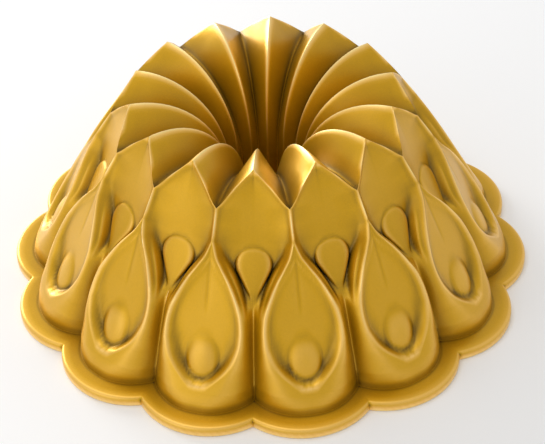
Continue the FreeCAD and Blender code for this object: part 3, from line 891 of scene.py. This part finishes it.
class PanStage(bpy.types.PropertyGroup):
    room: share("Room light", "Strength of the white room", 0.66, 10.0)
    top_light: share("Top light", "Power of the light above, in watts", 3, 1000.0)
    front_light: share("Front light", "Power of the light at the front, in watts", 3.6, 1000.0)
    side_light: share("Side light", "Power of the light behind at the left, in watts", 22, 1000.0)
    camera_distance: length("Camera distance", "From the camera to the pan's centre", 774.1736)
    camera_rise: bpy.props.FloatProperty(
        name="Camera elevation", description="Angle of the camera above the floor",
        default=0.6681, subtype="ANGLE")


class BUNDT_OT_gold_coat(bpy.types.Operator):
    """Builds the gold coat over the rim, the relief, the crown and the tube"""
    bl_idname = "bundt.gold_coat"
    bl_label = "Gold coat"

    def execute(self, context):
        form = Form(context.scene.bundt_sizes)
        look = context.scene.bundt_finish
        piece = layer("gold_coat", surface(form, 0.0), surface(form, COAT_BACK, stride=2))
        gold = satin("satin_gold", look.gold, look.gold_metallic, look.gold_roughness,
                     look.speckle, GOLD_GRAIN, look.painted_groove_shade, look.painted_crest_highlight)
        finished(piece, gold, "gold_coat", "outer_coat")
        return {"FINISHED"}


class BUNDT_OT_casting(bpy.types.Operator):
    """Builds the aluminium casting, bare on the rim's underside and at the tube's end"""
    bl_idname = "bundt.casting"
    bl_label = "Casting"

    def execute(self, context):
        form = Form(context.scene.bundt_sizes)
        look = context.scene.bundt_finish
        outer = surface(form, CASTING_OUTSIDE, stride=2)
        piece = layer("casting", outer, surface(form, CASTING_INSIDE, inside=True, stride=2))
        metal = satin("bare_aluminium", look.metal, metallic=1.0, roughness=0.38,
                      speckle=0.1, grain=METAL_GRAIN)
        finished(piece, metal, "cast_aluminium", *CASTING_NODES)
        return {"FINISHED"}


class BUNDT_OT_release_lining(bpy.types.Operator):
    """Builds the release coating inside the pan"""
    bl_idname = "bundt.release_lining"
    bl_label = "Release lining"

    def execute(self, context):
        form = Form(context.scene.bundt_sizes)
        look = context.scene.bundt_finish
        back = surface(form, LINING_BACK, inside=True, stride=2)
        piece = layer("release_lining", surface(form, LINING_FACE, inside=True, stride=2), back)
        coating = satin("release_coating", look.lining, metallic=0.7, roughness=0.5,
                        speckle=0.1, grain=METAL_GRAIN)
        finished(piece, coating, "release_coating", "nonstick_lining")
        return {"FINISHED"}


# Each light with its width and place in metres, and the point that they all face.
LIGHTS = (
    ("top_light", 1.0, (-0.35, 0.1, 1.2)),
    ("front_light", 1.4, (-1.1, -1.3, 0.6)),
    ("side_light", 1.1, (-1.3, 1.3, 0.55)),
)
LIGHT_TARGET = (0, 0, 0.05)
FLOOR_HALF = 6.0
FLOOR_HEIGHT = -0.2 * MM
FLOOR_ALBEDO = 0.95

# The camera's turn about the pan's axis, its roll and its aim off the axis, in radians.
CAMERA_TURN = 0.0872
CAMERA_ROLL = -0.0397
CAMERA_AIM = (0.0031, -0.0249)
CAMERA_CENTRE = Vector((0, 0, 45 * MM))
LENS = 103.374
SENSOR_WIDTH = 36


def soft_light(name, power, size, place):
    """A round area light that faces the pan."""
    lamp = bpy.data.lights.new(name, "AREA")
    lamp.energy = power
    lamp.shape = "DISK"
    lamp.size = size
    holder = bpy.data.objects.new(name, lamp)
    holder.location = place
    facing = Vector(LIGHT_TARGET) - Vector(place)
    holder.rotation_euler = facing.to_track_quat("-Z", "Y").to_euler()
    bpy.context.scene.collection.objects.link(holder)


def place_camera(distance, rise):
    """The camera, turned with the leaf that faces it and rolled a little."""
    across, along_rise = CAMERA_AIM
    level = Vector((0, math.cos(rise), -math.sin(rise)))
    sideways = Vector((1, 0, 0)) * math.tan(across)
    lifted = Vector((0, math.sin(rise), math.cos(rise))) * math.tan(along_rise)
    forward = (level + sideways + lifted).normalized()
    right = forward.cross(Vector((0, 0, 1))).normalized()
    up = right.cross(forward)
    rolled_right = right * math.cos(CAMERA_ROLL) + up * math.sin(CAMERA_ROLL)
    rolled_up = up * math.cos(CAMERA_ROLL) - right * math.sin(CAMERA_ROLL)
    pose = Matrix((rolled_right, rolled_up, -forward)).transposed().to_4x4()
    pose.translation = Vector((0, -math.cos(rise), math.sin(rise))) * distance + CAMERA_CENTRE
    lens = bpy.data.cameras.new("camera")
    lens.lens = LENS
    lens.sensor_width = SENSOR_WIDTH
    camera = bpy.data.objects.new("camera", lens)
    camera.matrix_world = Matrix.Rotation(CAMERA_TURN, 4, "Z") @ pose
    bpy.context.scene.collection.objects.link(camera)
    bpy.context.scene.camera = camera


class BUNDT_OT_stage(bpy.types.Operator):
    """Makes the floor, the lights and the camera"""
    bl_idname = "bundt.stage"
    bl_label = "Stage"

    def execute(self, context):
        stage = context.scene.bundt_stage
        mesh = bpy.data.meshes.new("floor")
        corners = [(x * FLOOR_HALF, y * FLOOR_HALF, FLOOR_HEIGHT)
                   for x, y in ((-1, -1), (1, -1), (1, 1), (-1, 1))]
        mesh.from_pydata(corners, [], [(0, 1, 2, 3)])
        floor = bpy.data.objects.new("floor", mesh)
        shader = Shader("pale_floor")
        white = (FLOOR_ALBEDO, FLOOR_ALBEDO, FLOOR_ALBEDO, 1)
        shader.feed(shader.surface, {"Base Color": white, "Roughness": 0.7})
        mesh.materials.append(shader.material)
        context.scene.collection.objects.link(floor)
        world = bpy.data.worlds.new("room")
        world.use_nodes = True
        background = world.node_tree.nodes["Background"]
        background.inputs["Color"].default_value = (1, 1, 1, 1)
        background.inputs["Strength"].default_value = stage.room
        context.scene.world = world
        context.scene.view_settings.view_transform = "Standard"
        for name, size, place in LIGHTS:
            soft_light(name, getattr(stage, name), size, place)
        place_camera(stage.camera_distance, stage.camera_rise)
        return {"FINISHED"}


class BUNDT_PT_panel(bpy.types.Panel):
    """Sizes, finish and steps of the bundt pan"""
    bl_idname = "BUNDT_PT_panel"
    bl_label = "Bundt Pan"
    bl_space_type = "VIEW_3D"
    bl_region_type = "UI"
    bl_category = "Bundt Pan"

    def draw(self, context):
        scene = context.scene
        for group in (scene.bundt_sizes, scene.bundt_finish, scene.bundt_stage):
            box = self.layout.box()
            for name in group.__annotations__:
                box.prop(group, name)
        for operator in OPERATORS:
            self.layout.operator(operator.bl_idname)


OPERATORS = (BUNDT_OT_gold_coat, BUNDT_OT_casting, BUNDT_OT_release_lining, BUNDT_OT_stage)
CLASSES = (PanSizes, PanFinish, PanStage, *OPERATORS, BUNDT_PT_panel)


def register():
    for item in CLASSES:
        bpy.utils.register_class(item)
    bpy.types.Scene.bundt_sizes = bpy.props.PointerProperty(type=PanSizes)
    bpy.types.Scene.bundt_finish = bpy.props.PointerProperty(type=PanFinish)
    bpy.types.Scene.bundt_stage = bpy.props.PointerProperty(type=PanStage)


def unregister():
    del bpy.types.Scene.bundt_stage
    del bpy.types.Scene.bundt_finish
    del bpy.types.Scene.bundt_sizes
    for item in reversed(CLASSES):
        bpy.utils.unregister_class(item)


def main():
    register()
    bpy.ops.bundt.gold_coat()
    bpy.ops.bundt.casting()
    bpy.ops.bundt.release_lining()
    bpy.ops.bundt.stage()


if __name__ == "__main__":
    main()
